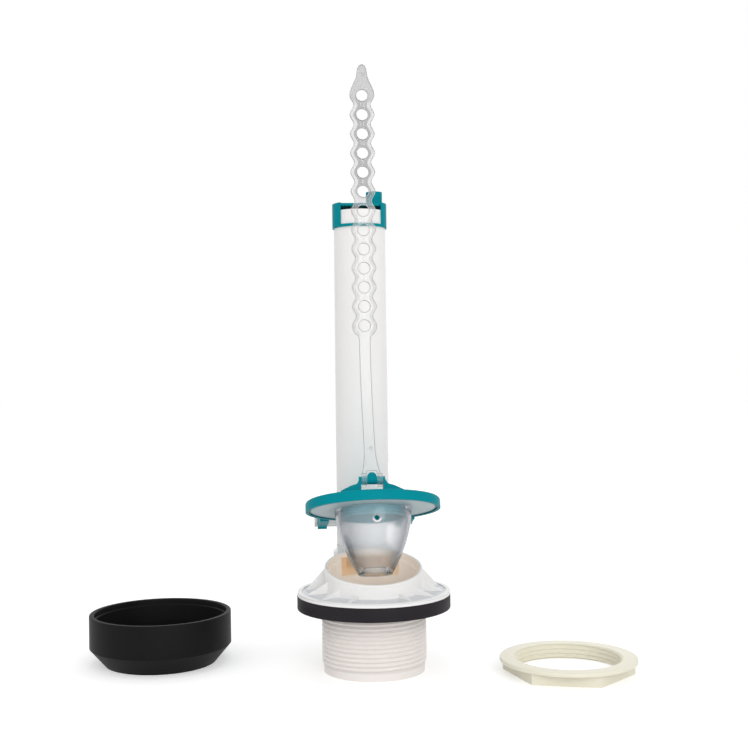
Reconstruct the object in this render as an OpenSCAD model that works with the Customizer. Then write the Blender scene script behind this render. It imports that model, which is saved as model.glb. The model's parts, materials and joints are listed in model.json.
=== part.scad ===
// Toilet flush valve: valve body on a threaded shank, overflow tube with a refill collar,
// hinged flapper with an air cone and a lift strap, and the loose locknut and tank gasket.
// The origin is on the shank's axis at its foot, +Z is up and the overflow tube stands at +Y.

/* [Shank and flange] */
// Outside diameter over the shank's thread
shank_od = 57.2; // [52:0.1:64]
// Wall of the shank
shank_wall = 3.2; // [2.4:0.1:4]
// Height of the flange's underside above the shank's foot
shank_len = 41.5; // [34:0.5:55]
// Length of the plain lead-in below the thread
lead_len = 5; // [3:0.5:9]
// Step in from the thread to the lead-in and to the neck
thread_step = 1; // [0.6:0.1:1.6]
// Outside diameter of the flange
flange_od = 83.4; // [78:0.2:92]
// Thickness of the flange at its lip
flange_t = 2; // [1.6:0.1:4]
// Width of the raised lip round the flange
flange_lip_w = 2.4; // [1.6:0.1:3.2]
// Height of the lip above the flange's floor
flange_lip_h = 0.5; // [0.3:0.1:1]

/* [Seat] */
// Height of the seat's centre
seat_z = 56.2; // [54:0.2:66]
// Slope of the seat, low at the front
seat_tilt = 13; // [6:0.5:16]
// Outside diameter of the seat ring
seat_od = 53.8; // [48:0.2:58]
// Width of the seat ring
seat_w = 1.8; // [1.6:0.1:3]
// Height of the thickened seat ring
seat_ring_h = 4; // [3:0.2:5]
// Rounding of the seat's lip
seat_round = 0.7; // [0.3:0.1:0.8]
// Wall of the barrel under the seat
barrel_wall = 1.8; // [1.6:0.1:2.4]
// Thickness of the flange's gussets
gusset_t = 1.8; // [1.2:0.1:3]
// Number of gussets on each side of the front
gusset_count = 4; // [2:1:4]
// Angle between gussets
gusset_step = 25.5; // [18:0.5:26]
// Distance from the shank's axis to a gusset's toe
gusset_reach = 37.6; // [34:0.2:39]
// Drop of a front gusset's top below the seat
gusset_drop = 5; // [2:0.2:6]
// Drop of the rear gussets' tops below the seat
rear_gusset_drop = 0.8; // [0.6:0.2:6]

/* [Duct and overflow tube] */
// Distance from the shank's axis to the tube's axis
tube_y = 61; // [58:0.5:72]
// Outside diameter of the tube at its foot
tube_od = 31.8; // [28:0.1:34]
// Outside diameter of the tube at its rim
tube_rim_od = 30.7; // [27:0.1:34]
// Wall of the tube
tube_wall = 2.2; // [1.6:0.1:3]
// Height of the tube's rim
tube_top = 259; // [180:1:330]
// Width of the port in the seat's rear wall
port_w = 33; // [26:0.5:36]
// Height of the port's floor
port_floor = 48; // [47:0.2:52]
// Height of the port
port_h = 10; // [6:0.2:11]
// Wall of the duct and of the tube's socket
duct_wall = 2; // [1.4:0.1:3]
// Depth of the tube's socket
socket_depth = 8; // [5:0.5:12]

/* [Hinge pegs] */
// Distance of the pegs' axis in front of the tube's axis
peg_forward = 2; // [0:0.5:4]
// Height of the pegs' axis
peg_z = 74; // [70:0.5:84]
// Diameter of a peg
peg_d = 5; // [4:0.1:6.4]
// Thickness of a peg's end stop
peg_stop_t = 1.5; // [1:0.1:2.5]

/* [Flange gasket] */
// How far the flange gasket stands out past the flange
gasket_proud = 0.2; // [0:0.1:3]
// Thickness of the flange gasket
gasket_t = 7.5; // [4:0.5:12]

/* [Refill collar] */
// Height of the collar
collar_h = 14.5; // [12:0.1:22]
// Wall of the collar
collar_wall = 0.8; // [0.7:0.1:2]
// Height of the collar above the tube's rim
collar_rise = 4.4; // [2.5:0.1:8]
// Thickness of the collar's top plate and height of its lower band
band_h = 1.6; // [1.2:0.1:2.2]
// Half angle of the window in the collar's front
window_half = 50; // [35:1:65]
// Distance of the top plate's front edge from the tube's axis
plate_front = 8; // [6:0.5:12]
// Outside diameter of the refill nozzle
nozzle_od = 9.8; // [8:0.1:11]
// Bore of the refill nozzle
nozzle_bore = 6.6; // [5:0.1:7]
// Length of the nozzle above the collar
nozzle_len = 8.2; // [6:0.1:16]
// Distance of the nozzle from the tube's axis
nozzle_offset = 10.6; // [9:0.1:10.8]
// Bearing of the nozzle round the tube, from +X
nozzle_bearing = 27; // [10:1:45]

/* [Flapper] */
// Angle at which the flapper stands open
open_angle = 29; // [15:1:45]
// Outside diameter of the flapper's rim
flapper_od = 73.8; // [70:0.2:78]
// Height of the rim
rim_h = 5.5; // [4.5:0.1:7]
// Wall of the rim
rim_wall = 1.8; // [1.2:0.1:2.6]
// Thickness of the flapper's plate
plate_t = 2.2; // [1.6:0.1:3]
// Distance between the two arms
arm_gap = 44.2; // [40:0.2:46]
// Thickness of an arm
arm_t = 5.4; // [4:0.2:8]
// Radius of the eye at an arm's end
eye_r = 4.7; // [4.4:0.1:6]
// Thickness of the arch
arch_t = 6; // [4:0.5:8]
// Half width of the arch at its feet
arch_foot = 22; // [18:0.5:25]
// Height of the strap bar above the seal's face
bar_w = 16.5; // [15:0.5:19]
// Diameter of the strap bar
bar_d = 4.4; // [3.6:0.1:5]
// Half width of the opening in the arch
arch_open = 6.2; // [5.8:0.1:7.5]
// Rise of the middle rib above the bar's axis
hump_rise = 4.2; // [3.5:0.1:5.2]
// How far the hub that carries the cone lies inside the cone's top edge
hub_inset = 3.2; // [2.8:0.1:5]
// Depth of the hub below the seal's face
hub_depth = 4.5; // [3.5:0.5:10]
// Wall of the hub
hub_wall = 1.8; // [1.4:0.1:2.6]

/* [Air cone] */
// Outside diameter at the cone's top
cone_top_d = 42; // [40:0.2:44]
// Outside diameter at the cone's mouth
cone_mouth_d = 18.2; // [14:0.2:24]
// Height of the cone
cone_h = 35; // [28:0.5:36]
// Wall of the cone
cone_wall = 1.4; // [1:0.1:2]
// Fullness of the bell curve
cone_power = 1.8; // [1.4:0.1:2.4]
// Height of the thick rim at the cone's mouth
cone_rim_h = 3.4; // [2:0.1:5]
// Thickness of the rim
cone_rim_t = 2.2; // [1.6:0.1:3]
// Depth of the thick collar at the cone's top
cone_collar = 3.5; // [2.5:0.1:5]
// Diameter of the boss round the bleed hole
bleed_boss_d = 5; // [4:0.1:6]
// Diameter of the bleed hole
bleed_d = 2.8; // [2:0.1:3.4]
// Depth of the bleed hole below the cone's top
bleed_depth = 7.2; // [6.5:0.1:9]

/* [Lift strap] */
// Number of hook holes
hole_count = 13; // [8:1:16]
// Distance between hook holes
hole_pitch = 10.57; // [9.5:0.01:11.5]
// Diameter of a hook hole
hole_d = 6.65; // [5:0.05:7.5]
// Diameter of a bead
bead_d = 13.4; // [12.4:0.1:15]
// Length of the plain stretch above the bar
plain_len = 77; // [60:1:100]
// Width of the plain stretch
plain_w = 5.9; // [5:0.1:8]
// Width of the strap between two beads
neck_w = 9; // [8:0.1:11]
// Thickness of the strap's web
strap_t = 1.5; // [1.2:0.1:2]
// Thickness of the raised edge
strap_edge_t = 2.3; // [1.8:0.1:3]
// Width of the raised edge
strap_edge_w = 1; // [0.8:0.1:1.4]
// Sideways set of the beads from the bar's middle
strap_set = -2.9; // [-5:0.1:5]
// Wall of the rings round the bar
ring_wall = 1.5; // [1.2:0.1:1.8]
// Length of the pointed tip above the last hole
tip_len = 16.9; // [15:0.1:22]
// Width of the tip
tip_w = 5.4; // [4:0.1:7]

/* [Locknut] */
// Width across the nut's flats
nut_af = 61; // [60:0.2:68]
// Height of the hexagon
nut_hex_h = 6; // [4:0.5:12]
// Outside diameter of the nut's flange
nut_flange_od = 73.6; // [72:0.2:82]
// Thickness of the nut's flange
nut_flange_t = 2.3; // [1.6:0.1:4]
// Place of the nut on the ground
nut_place = [102.8, -21]; // [-200:1:200]
// Turn of the nut's corners
nut_turn = 42.8; // [0:0.1:60]

/* [Tank gasket] */
// Outside diameter of the tank gasket
seal_cup_od = 79.2; // [77:0.2:90]
// Height of the tank gasket
seal_cup_h = 28.2; // [22:0.2:36]
// Height of the tapered lower part
seal_cup_taper_h = 10; // [6:0.5:14]
// Diameter at the foot of the taper
seal_cup_foot_d = 62; // [60:0.5:72]
// Wall of the cup
seal_cup_wall = 2.7; // [2:0.1:4]
// Thickness of the cup's floor
seal_cup_floor = 12; // [8:0.5:15]
// Depth of the thinner lip inside the cup's rim
seal_cup_lip = 3; // [2:0.5:5]
// Place of the tank gasket on the ground
seal_cup_place = [-118.4, 34.8]; // [-200:1:200]

/* [Hidden] */
$fn = 96;

// Clearances
glue_gap = 0.15;
run_gap = 0.3;
hinge_gap = 0.3;
// Overshoot that keeps cuts and joined bodies clean
eps = 0.5;
large = 400;

// Shank, flange and seat
shank_r = shank_od / 2;
bore_r = shank_r - shank_wall;
flange_top = shank_len + flange_t;
flange_r = flange_od / 2;
flange_floor = flange_top - flange_lip_h;
seat_r = seat_od / 2;
seat_step = 0.4;
mouth_r = seat_r - seat_w;
barrel_r = seat_r - seat_step;
barrel_bore_r = barrel_r - barrel_wall;
throat_h = 5;
gusset_toe = 0.3;
round_steps = 4;

// Duct, tube and pegs
port_top = port_floor + port_h;
port_y = 12;
gasket_r = flange_r + gasket_proud;
duct_back_w = tube_od + 2 * glue_gap - 2 * duct_wall;
socket_r = tube_od / 2 + glue_gap;
tube_r = tube_od / 2;
tube_rim_r = tube_rim_od / 2;
tube_bore_r = tube_rim_r - tube_wall;
tube_notch_w = 22.4;
peg_r = peg_d / 2;
hinge_y = tube_y - peg_forward;
peg_reach = arm_gap / 2 + arm_t + run_gap + peg_stop_t;
peg_sink = 1;
peg_root_step = 0.8;
peg_stop_step = 0.9;

// Collar
collar_r = tube_rim_r + glue_gap;
collar_top = tube_top + collar_rise;
collar_bottom = collar_top - collar_h;
rest_w = 2;
rest_half = 5.2;
collar_outer_r = collar_r + collar_wall;

// Flapper: the hinge seen from the seat's centre, in the seat's own slope
seal_gap = 0.3;
rim_drop = 0.3;
flapper_r = flapper_od / 2;
rim_round = 1.4;
plate_top = rim_h - rim_drop;
seal_top = plate_top - plate_t;
hinge_u = hinge_y * cos(seat_tilt) + (peg_z - seat_z) * sin(seat_tilt);
bar_r = bar_d / 2;
hinge_w = (peg_z - seat_z) * cos(seat_tilt) - hinge_y * sin(seat_tilt);
eye_bore_r = peg_r + hinge_gap;
arm_mid = (arm_gap + arm_t) / 2;
arm_front = 2;
arm_rise = 3;
arm_heel = 5;
eye_slot_turn = -55;
eye_slot_w = 4;
post_w = 4.4;
post_lean = 2.4;
post_top_w = 0.7;
post_rise = 0.5;
strut_run = 10;
strut_knee = 5;
strut_rise = 5.6;
shoulder_drop = 2.3;
sink = 1;
hub_r = cone_top_d / 2 - hub_inset;
seal_inner_r = hub_r + run_gap;

// Cone
cone_gap = 0.4;
cone_top_w = seal_gap - cone_gap;
cone_bore_r = hub_r + run_gap;
cone_steps = 18;
boss_rise = 0.6;
index_w = 2.2;
index_t = 0.8;
index_h = 2;
index_depth = 3.8;
index_set = -1.6;

// Strap: the bar's place after the flapper has swung open
bar_y0 = -bar_w * sin(seat_tilt);
bar_z0 = seat_z + bar_w * cos(seat_tilt);
bar_y = hinge_y + (bar_y0 - hinge_y) * cos(open_angle) + (bar_z0 - peg_z) * sin(open_angle);
bar_z = peg_z - (bar_y0 - hinge_y) * sin(open_angle) + (bar_z0 - peg_z) * cos(open_angle);
bead_r = bead_d / 2;
bead_lead = 8.3;
first_hole = plain_len + bead_lead;
last_hole = first_hole + (hole_count - 1) * hole_pitch;
ring_bore_r = bar_r + hinge_gap;
ring_r = ring_bore_r + ring_wall;
ring_outer = arch_open - run_gap;
hump_half = 2.5;
hump_chamfer = 1.4;
hump_t = 3.1;
ring_inner = hump_half + run_gap;
fork_gap = 1.2;
flare_h = 16;
flare_power = 1.5;
set_power = 1.6;
tip_blend = 12.4;
strap_steps = 16;
wave_steps = 8;
tip_steps = 6;
strap_edge_set = 0.15;

// Loose pieces
nut_bore_r = shank_r + run_gap;
nut_corner_r = nut_af / sqrt(3);
nut_round = 0.7;
cup_stretch = 0.6;
cup_bore_r = shank_r - cup_stretch;
cup_round = 0.6;
cup_step = 0.6;

// Points along an arc, from one angle to another
function arc(centre, radius, from, to) =
    [for (i = [0 : round_steps])
        let (a = from + (to - from) * i / round_steps)
        [centre[0] + radius * cos(a), centre[1] + radius * sin(a)]];

// Places a child in the sloping frame of the seat
module on_seat() {
    translate([0, 0, seat_z]) rotate([seat_tilt, 0, 0]) children();
}

// All space below the seat's plane, lowered by a drop
module below_seat(drop) {
    on_seat() translate([-large / 2, -large / 2, -large - drop]) cube(large);
}

// Places a child of the closed flapper where the open flapper holds it
module on_flapper() {
    translate([0, hinge_y, peg_z])
        rotate([-open_angle, 0, 0])
            translate([0, -hinge_y, -peg_z])
                on_seat() children();
}

// Extrudes an outline drawn in (x, z) equally to both sides of the XZ plane
module upright(thickness) {
    rotate([90, 0, 0]) linear_extrude(height = thickness, center = true) children();
}

module ring(outer_r, inner_r, height) {
    difference() {
        cylinder(r = outer_r, h = height);
        translate([0, 0, -eps]) cylinder(r = inner_r, h = height + 2 * eps);
    }
}

// Flange with a raised lip round its edge
module flange() {
    rotate_extrude()
        polygon([[0, shank_len], [flange_r, shank_len], [flange_r, flange_top],
                 [flange_r - flange_lip_w, flange_top], [flange_r - flange_lip_w, flange_floor],
                 [0, flange_floor]]);
}

// One gusset from the seat's wall down to the flange, lower towards the front
module gusset(bearing, drop) {
    top = seat_z + barrel_r * sin(bearing) * tan(seat_tilt) - drop;
    rotate([0, 0, bearing])
        upright(gusset_t)
            polygon([[barrel_r - sink, flange_floor - eps], [gusset_reach, flange_floor - eps],
                     [gusset_reach, flange_floor + gusset_toe], [barrel_r - sink, top]]);
}

// Thickened seat ring with a rounded lip, solid until the mouth is cut
module seat_ring() {
    on_seat() rotate_extrude()
        polygon(concat([[0, -seat_ring_h], [seat_r, -seat_ring_h]],
                       arc([seat_r - seat_round, -seat_round], seat_round, 0, 90),
                       [[0, 0]]));
}

// Mouth through the seat ring, flared by the lip's rounding
module mouth_cut() {
    on_seat() rotate_extrude()
        polygon(concat([[0, -seat_ring_h - eps], [mouth_r, -seat_ring_h - eps]],
                       arc([mouth_r + seat_round, -seat_round], seat_round, 180, 90),
                       [[mouth_r + seat_round, eps], [0, eps]]));
}

// Plan of the duct: wide at the seat's port, narrower at the tube
module duct_plan(front_w, back_w, front_y, back_y) {
    polygon([[-front_w / 2, front_y], [front_w / 2, front_y],
             [back_w / 2, back_y], [-back_w / 2, back_y]]);
}

module valve_body() {
    color("white") difference() {
        union() {
            cylinder(r = shank_r - thread_step, h = shank_len + eps);
            translate([0, 0, lead_len]) cylinder(r = shank_r, h = shank_len - gasket_t - lead_len);
            flange();
            intersection() {
                translate([0, 0, shank_len + eps]) cylinder(r = barrel_r, h = 2 * seat_z);
                below_seat(seat_ring_h / 2);
            }
            seat_ring();
            for (side = [-1, 1], i = [1 : gusset_count])
                gusset(270 + side * i * gusset_step, i < gusset_count ? gusset_drop : rear_gusset_drop);
            translate([0, 0, shank_len + eps])
                linear_extrude(height = port_top + duct_wall - shank_len - eps)
                    duct_plan(port_w + 2 * duct_wall, duct_back_w + 2 * duct_wall, port_y, tube_y);
            translate([0, tube_y, shank_len + eps])
                cylinder(r = socket_r + duct_wall, h = port_floor + socket_depth - shank_len - eps);
        }
        translate([0, 0, -eps]) cylinder(r = bore_r, h = shank_len + eps);
        translate([0, 0, shank_len - eps]) cylinder(r1 = bore_r, r2 = barrel_bore_r, h = throat_h);
        intersection() {
            translate([0, 0, shank_len]) cylinder(r = barrel_bore_r, h = 2 * seat_z);
            below_seat(seat_ring_h);
        }
        mouth_cut();
        translate([0, 0, port_floor]) linear_extrude(height = port_h)
            duct_plan(port_w, duct_back_w, port_y, tube_y);
        translate([0, tube_y, port_floor]) cylinder(r = socket_r, h = large);
        on_seat() cylinder(r = seat_r + run_gap, h = large);
    }
}

// Hinge peg with a thick root and an end stop
module peg(side) {
    root = tube_bore_r + peg_sink;
    translate([0, hinge_y, peg_z]) rotate([0, 90 * side, 0]) {
        translate([0, 0, root]) cylinder(r = peg_r, h = peg_reach - root);
        translate([0, 0, root]) cylinder(r = peg_r + peg_root_step, h = arm_gap / 2 - run_gap - root);
        translate([0, 0, peg_reach - peg_stop_t]) cylinder(r = peg_r + peg_stop_step, h = peg_stop_t);
    }
}

module overflow_tube() {
    color("whitesmoke") difference() {
        union() {
            translate([0, tube_y, port_floor])
                cylinder(r1 = tube_r, r2 = tube_rim_r, h = tube_top - port_floor);
            for (side = [-1, 1]) peg(side);
        }
        translate([0, tube_y, port_floor - eps])
            cylinder(r = tube_bore_r, h = tube_top - port_floor + 2 * eps);
        translate([-tube_notch_w / 2, tube_y - tube_od, port_floor - eps])
            cube([tube_notch_w, tube_od, port_h + eps]);
    }
}

module flange_gasket() {
    color([0.16, 0.15, 0.17])
        translate([0, 0, shank_len - gasket_t])
            ring(gasket_r, shank_r + glue_gap, gasket_t);
}

// Wedge of the collar's wall, as wide as the window in its front
module window_cut() {
    reach = 2 * collar_outer_r;
    linear_extrude(height = large)
        polygon([[0, 0], [-reach * sin(window_half), -reach * cos(window_half)], [0, -2 * reach],
                 [reach * sin(window_half), -reach * cos(window_half)]]);
}

module refill_collar() {
    nozzle_x = nozzle_offset * cos(nozzle_bearing);
    nozzle_y = nozzle_offset * sin(nozzle_bearing);
    color([0, 0.53, 0.58]) translate([0, tube_y, 0]) difference() {
        union() {
            difference() {
                translate([0, 0, collar_bottom]) ring(collar_outer_r, collar_r, collar_h);
                translate([0, 0, collar_bottom + band_h]) window_cut();
            }
            // Top plate, cut straight in front, where water runs over the tube's rim
            intersection() {
                translate([0, 0, collar_top - band_h]) cylinder(r = collar_outer_r, h = band_h);
                translate([-large / 2, -plate_front, 0]) cube(large);
            }
            // Rests that stop the collar on the tube's rim
            intersection() {
                translate([0, 0, tube_top]) ring(collar_r + eps, collar_r - rest_w, collar_rise);
                for (side = [-1, 1])
                    translate([side * collar_r - rest_half, -rest_half, 0])
                        cube([2 * rest_half, 2 * rest_half, large]);
            }
            translate([nozzle_x, nozzle_y, collar_top - band_h])
                cylinder(d = nozzle_od, h = nozzle_len + band_h);
        }
        translate([nozzle_x, nozzle_y, 0]) cylinder(d = nozzle_bore, h = large);
    }
}

// Profile of an arm from the flapper's plate to the eye round its peg, drawn in (u, w)
module arm_profile() {
    rim_inner = flapper_r - rim_wall;
    difference() {
        union() {
            polygon([[arm_front, plate_top - sink], [flapper_r - arm_heel, 0],
                     [hinge_u, hinge_w - eye_bore_r - sink], [hinge_u, hinge_w + eye_bore_r],
                     [flapper_r - arm_heel, plate_top + arm_rise], [arm_front, plate_top + arm_rise]]);
            translate([hinge_u, hinge_w]) circle(r = eye_r);
        }
        translate([hinge_u, hinge_w]) circle(r = eye_bore_r);
        translate([hinge_u, hinge_w]) rotate(eye_slot_turn)
            translate([0, -eye_slot_w / 2]) square([2 * eye_r, eye_slot_w]);
        // Room for the seal under the plate
        polygon([[0, seal_top + glue_gap], [rim_inner, seal_top + glue_gap],
                 [rim_inner, -rim_drop - sink], [0, -rim_drop - sink]]);
    }
}

// Right half of the arch seen from the front: a post, a strut and the gap between them
module arch_half() {
    shoulder = bar_w - shoulder_drop;
    post = arch_open + post_w;
    knee = [arch_foot - strut_knee, plate_top + strut_rise];
    difference() {
        polygon([[arch_open, plate_top - sink], [arch_foot, plate_top - sink],
                 [arch_foot, plate_top + sink], knee, [arch_foot - strut_run, shoulder - sink],
                 [arch_open + post_lean, shoulder], [arch_open + post_top_w, bar_w + post_rise],
                 [arch_open, bar_w + post_rise]]);
        polygon([[post, plate_top + sink], [knee[0] + sink, plate_top + sink],
                 [knee[0] - 2 * sink, knee[1] - sink], [post, shoulder - post_w]]);
    }
}

// Rib in the middle of the bar, between the strap's two rings
module hump_outline() {
    top = bar_w + hump_rise;
    polygon([[-hump_half, bar_w], [hump_half, bar_w], [hump_half, top - hump_chamfer],
             [hump_half - hump_chamfer, top], [hump_chamfer - hump_half, top],
             [-hump_half, top - hump_chamfer]]);
}

module flapper_frame() {
    rim_inner = flapper_r - rim_wall;
    color([0, 0.53, 0.58]) on_flapper() {
        rotate_extrude()
            polygon(concat([[0, seal_top], [rim_inner, seal_top], [rim_inner, -rim_drop],
                            [flapper_r, -rim_drop]],
                           arc([flapper_r - rim_round, plate_top - rim_round], rim_round, 0, 90),
                           [[0, plate_top]]));
        translate([0, 0, -hub_depth]) ring(hub_r, hub_r - hub_wall, hub_depth + seal_top + eps);
        for (side = [-1, 1])
            translate([side * arm_mid - arm_t / 2, 0, 0]) rotate([90, 0, 90])
                linear_extrude(height = arm_t) arm_profile();
        upright(arch_t) for (side = [0, 1]) mirror([side, 0]) arch_half();
        translate([-arch_open - sink, 0, bar_w]) rotate([0, 90, 0])
            cylinder(r = bar_r, h = 2 * (arch_open + sink));
        upright(hump_t) hump_outline();
    }
}

module flapper_seal() {
    color([0.80, 0.82, 0.83]) on_flapper() translate([0, 0, seal_gap])
        ring(flapper_r - rim_wall - glue_gap, seal_inner_r, seal_top - seal_gap);
}

// Outside radius of the bell at a depth below its top
function bell_r(depth) =
    cone_mouth_d / 2 + (cone_top_d - cone_mouth_d) / 2 * (1 - pow(depth / cone_h, cone_power));

module air_cone() {
    depths = [for (i = [0 : cone_steps]) cone_h * i / cone_steps];
    mouth = cone_mouth_d / 2;
    rim_r = bell_r(cone_h - cone_rim_h);
    color([0.75, 0.80, 0.85]) on_flapper() translate([0, 0, cone_top_w]) difference() {
        union() {
            rotate_extrude() polygon(concat(
                [for (d = depths) [bell_r(d), -d]],
                [for (i = [cone_steps : -1 : 0]) [bell_r(depths[i]) - cone_wall, -depths[i]]]));
            translate([0, 0, -cone_collar])
                ring(bell_r(cone_collar) - cone_wall / 2, cone_bore_r, cone_collar);
            rotate_extrude()
                polygon([[mouth - cone_wall / 2, -cone_h], [rim_r - cone_wall / 2, cone_rim_h - cone_h],
                         [mouth - cone_rim_t, cone_rim_h - cone_h], [mouth - cone_rim_t, -cone_h]]);
            translate([0, boss_rise - bell_r(bleed_depth), -bleed_depth]) rotate([90, 0, 0])
                cylinder(d = bleed_boss_d, h = 2 * boss_rise);
            // Index lug that the cone's setting is read by
            translate([index_set - index_w / 2, -bell_r(index_depth) - index_t, -index_depth])
                cube([index_w, index_t + sink, index_h]);
        }
        translate([0, 0, -bleed_depth]) rotate([90, 0, 0]) cylinder(d = bleed_d, h = large);
    }
}

// Sideways set of the strap at a height above the bar
function set_at(h) = strap_set * (1 - pow(max(0, 1 - h / plain_len), set_power));

// Half width of the plain stretch, flared towards the bar
function plain_half(h) =
    plain_w / 2 + (ring_outer - plain_w / 2) * pow(max(0, 1 - h / flare_h), flare_power);

// Half width of the lower half of the first bead
function entry_half(h) = bead_r * sqrt(max(0, 1 - pow((first_hole - h) / bead_r, 2)));

// Half width along the row of beads
function bead_half(h) =
    neck_w / 2 + (bead_r - neck_w / 2) * (1 + cos(360 * (h - first_hole) / hole_pitch)) / 2;

// Half width of the tip at a height above the last hole
function tip_half(h) =
    h < tip_blend
        ? tip_w / 2 + (bead_r - tip_w / 2) * (1 + cos(180 * h / tip_blend)) / 2
        : tip_w / 2 * sqrt(max(0, 1 - pow((h - tip_blend) / (tip_len - tip_blend), 2)));

function strap_half(h) =
    h < first_hole ? max(plain_half(h), entry_half(h))
        : h <= last_hole ? bead_half(h) : tip_half(h - last_hole);

// Heights along the strap at which its outline has a point
function plain_heights() = [for (i = [0 : strap_steps]) plain_len * i / strap_steps];
function bead_heights() = concat(
    [for (a = [60, 45, 30, 15]) first_hole - bead_r * sin(a)],
    [for (i = [0 : wave_steps * (hole_count - 1)]) first_hole + hole_pitch * i / wave_steps]);
function tip_heights() = concat(
    [for (i = [1 : tip_steps]) last_hole + tip_blend * i / tip_steps],
    [for (a = [30, 55, 80]) last_hole + tip_blend + (tip_len - tip_blend) * sin(a)]);

// A closed outline between two half widths at each height, on one side or across the strap
module strap_shape(heights, inner, outer) {
    last = len(heights) - 1;
    polygon(concat([for (i = [0 : last]) [set_at(heights[i]) + outer[i], heights[i]]],
                   [for (i = [last : -1 : 0]) [set_at(heights[i]) + inner[i], heights[i]]]));
}

module strap_outline() {
    heights = concat(plain_heights(), bead_heights(), tip_heights());
    difference() {
        strap_shape(heights, [for (h = heights) -strap_half(h)], [for (h = heights) strap_half(h)]);
        translate([-ring_inner, -eps]) square([2 * ring_inner, hump_rise + fork_gap + eps]);
        translate([-large / 2, -large]) square([large, large + ring_bore_r]);
    }
}

// Raised edges along the row of beads
module strap_edges() {
    heights = [for (h = bead_heights()) if (h > first_hole - bead_r / 2 && h < last_hole - hole_pitch / 2) h];
    outer = [for (h = heights) strap_half(h) - strap_edge_set];
    inner = [for (h = heights) strap_half(h) - strap_edge_set - strap_edge_w];
    strap_shape(heights, inner, outer);
    strap_shape(heights, -inner, -outer);
}

module strap_holes() {
    for (i = [0 : hole_count - 1])
        translate([strap_set, first_hole + i * hole_pitch]) circle(d = hole_d);
}

module lift_strap() {
    ring_len = ring_outer - ring_inner;
    color([0.92, 0.93, 0.93]) translate([0, bar_y, bar_z]) difference() {
        union() {
            upright(strap_t) difference() {
                strap_outline();
                strap_holes();
            }
            upright(strap_edge_t) strap_edges();
            for (side = [-1, 1])
                translate([side * (ring_inner + ring_len / 2) - ring_len / 2, 0, 0]) rotate([0, 90, 0])
                    cylinder(r = ring_r, h = ring_len);
        }
        translate([-arch_open, 0, 0]) rotate([0, 90, 0]) cylinder(r = ring_bore_r, h = 2 * arch_open);
    }
}

module locknut() {
    nut_h = nut_hex_h + nut_flange_t;
    flange_edge = nut_flange_od / 2 - nut_round;
    color([0.91, 0.89, 0.80]) translate([nut_place[0], nut_place[1], 0]) difference() {
        union() {
            rotate([0, 0, nut_turn]) cylinder(r = nut_corner_r, h = nut_hex_h + eps, $fn = 6);
            rotate_extrude()
                polygon(concat([[0, nut_hex_h]],
                               arc([flange_edge, nut_hex_h + nut_round], nut_round, -90, 0),
                               arc([flange_edge, nut_h - nut_round], nut_round, 0, 90),
                               [[0, nut_h]]));
        }
        translate([0, 0, -eps]) cylinder(r = nut_bore_r, h = nut_h + 2 * eps);
    }
}

module tank_gasket() {
    outer_r = seal_cup_od / 2;
    lip_r = outer_r - seal_cup_wall;
    color([0.10, 0.10, 0.11]) translate([seal_cup_place[0], seal_cup_place[1], 0])
        rotate_extrude()
            polygon(concat([[cup_bore_r, 0], [seal_cup_foot_d / 2, 0], [outer_r, seal_cup_taper_h]],
                           arc([outer_r - cup_round, seal_cup_h - cup_round], cup_round, 0, 90),
                           arc([lip_r + cup_round, seal_cup_h - cup_round], cup_round, 90, 180),
                           [[lip_r, seal_cup_h - seal_cup_lip],
                            [lip_r - cup_step, seal_cup_h - seal_cup_lip - cup_step],
                            [lip_r - cup_step, seal_cup_floor], [cup_bore_r, seal_cup_floor]]));
}

valve_body();
overflow_tube();
flange_gasket();
refill_collar();
flapper_frame();
flapper_seal();
air_cone();
lift_strap();
locknut();
tank_gasket();
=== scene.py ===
# %% [markdown]
# # Toilet flush valve
# A two-inch flush valve as it stands on a table: a white valve body on a threaded shank, an overflow
# tube with a teal refill collar, a hinged flapper with a clear air cone and a numbered lift strap, and
# beside it the loose locknut and tank gasket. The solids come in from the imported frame. This script
# rounds the rings' edges, cuts the threads, adds the strap's numbers and lines, and gives every surface
# its finish.

# %% Load the frame
import json
import math

import bmesh
import bpy
from mathutils import Matrix, Vector

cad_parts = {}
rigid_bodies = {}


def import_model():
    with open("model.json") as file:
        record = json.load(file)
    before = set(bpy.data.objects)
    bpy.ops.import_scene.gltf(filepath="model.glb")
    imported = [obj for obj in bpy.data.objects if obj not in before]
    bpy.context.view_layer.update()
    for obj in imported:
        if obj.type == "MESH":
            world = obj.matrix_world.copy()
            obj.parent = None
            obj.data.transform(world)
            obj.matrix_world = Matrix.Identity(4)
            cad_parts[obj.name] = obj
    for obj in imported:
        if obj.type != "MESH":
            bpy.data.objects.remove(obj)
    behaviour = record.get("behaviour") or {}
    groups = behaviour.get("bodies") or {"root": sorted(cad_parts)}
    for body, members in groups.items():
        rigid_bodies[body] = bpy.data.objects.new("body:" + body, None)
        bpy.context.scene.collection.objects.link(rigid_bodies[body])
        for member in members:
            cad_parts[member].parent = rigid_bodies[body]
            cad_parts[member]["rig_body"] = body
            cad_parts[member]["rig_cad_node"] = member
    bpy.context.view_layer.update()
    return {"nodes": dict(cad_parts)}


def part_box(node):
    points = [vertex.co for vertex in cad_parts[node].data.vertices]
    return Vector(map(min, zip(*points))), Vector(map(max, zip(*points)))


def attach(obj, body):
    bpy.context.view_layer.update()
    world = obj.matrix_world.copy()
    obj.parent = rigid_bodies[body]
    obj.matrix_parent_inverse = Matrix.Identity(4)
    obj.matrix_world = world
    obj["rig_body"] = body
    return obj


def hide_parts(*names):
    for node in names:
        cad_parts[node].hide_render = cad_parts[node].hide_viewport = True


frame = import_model()
SOLIDS = frame["nodes"]
MM = 0.001

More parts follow.
